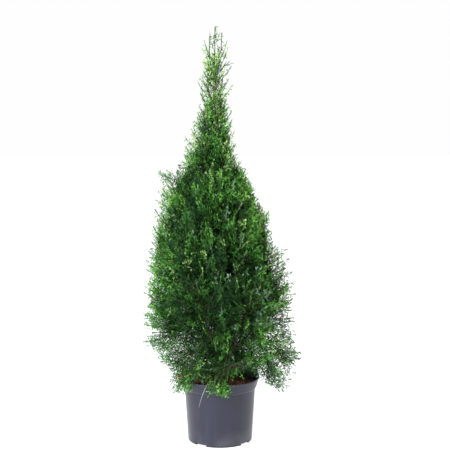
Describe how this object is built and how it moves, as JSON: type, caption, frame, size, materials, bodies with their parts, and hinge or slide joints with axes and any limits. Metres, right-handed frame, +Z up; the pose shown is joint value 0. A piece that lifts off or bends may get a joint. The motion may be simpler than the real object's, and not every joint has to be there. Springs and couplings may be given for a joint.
{
  "type": "potted emerald green arborvitae",
  "caption": "Young columnar evergreen conifer with upright, fan-shaped leaf sprays, standing in a round dark nursery pot.",
  "frame": {"origin": "centre of the pot's flat underside, on the ground it stands on", "axes": "+Z up along the trunk; -Y towards the side that the picture shows; +X to that view's right"},
  "size_m": [0.438, 0.4145, 1.195],
  "materials": {
    "pot_plastic": "satin",
    "moist_soil": "matte",
    "bark": "matte",
    "foliage_low": "matte",
    "foliage_mid": "matte",
    "foliage_top": "matte"
  },
  "bodies": {
    "root": {"pot": "pot_plastic", "soil": "moist_soil", "trunk": "bark", "skirt_bough_1": "bark", "skirt_foliage_1": "foliage_low", "skirt_bough_2": "bark", "skirt_foliage_2": "foliage_low", "skirt_bough_3": "bark", "skirt_foliage_3": "foliage_low", "skirt_bough_4": "bark", "skirt_foliage_4": "foliage_low", "skirt_bough_5": "bark", "skirt_foliage_5": "foliage_low", "skirt_bough_6": "bark", "skirt_foliage_6": "foliage_low", "lower_bough_1": "bark", "lower_foliage_1": "foliage_low", "lower_bough_2": "bark", "lower_foliage_2": "foliage_low", "lower_bough_3": "bark", "lower_foliage_3": "foliage_low", "lower_bough_4": "bark", "lower_foliage_4": "foliage_low", "lower_bough_5": "bark", "lower_foliage_5": "foliage_low", "lower_bough_6": "bark", "lower_foliage_6": "foliage_low", "middle_bough_1": "bark", "middle_foliage_1": "foliage_mid", "middle_bough_2": "bark", "middle_foliage_2": "foliage_mid", "middle_bough_3": "bark", "middle_foliage_3": "foliage_mid", "middle_bough_4": "bark", "middle_foliage_4": "foliage_mid", "middle_bough_5": "bark", "middle_foliage_5": "foliage_mid", "upper_bough_1": "bark", "upper_foliage_1": "foliage_mid", "upper_bough_2": "bark", "upper_foliage_2": "foliage_mid", "upper_bough_3": "bark", "upper_foliage_3": "foliage_mid", "upper_bough_4": "bark", "upper_foliage_4": "foliage_mid", "shoulder_foliage_1": "foliage_mid", "shoulder_foliage_2": "foliage_mid", "shoulder_foliage_3": "foliage_mid", "shoulder_foliage_4": "foliage_mid", "column_foliage_1": "foliage_top", "column_foliage_2": "foliage_top", "column_foliage_3": "foliage_top", "whip_foliage_1": "foliage_top", "whip_foliage_2": "foliage_top", "whip_foliage_3": "foliage_top", "crest_foliage_1": "foliage_top", "crest_foliage_2": "foliage_top", "rim_sprig_bough": "bark", "rim_sprig_foliage": "foliage_low"}
  },
  "joints": []
}
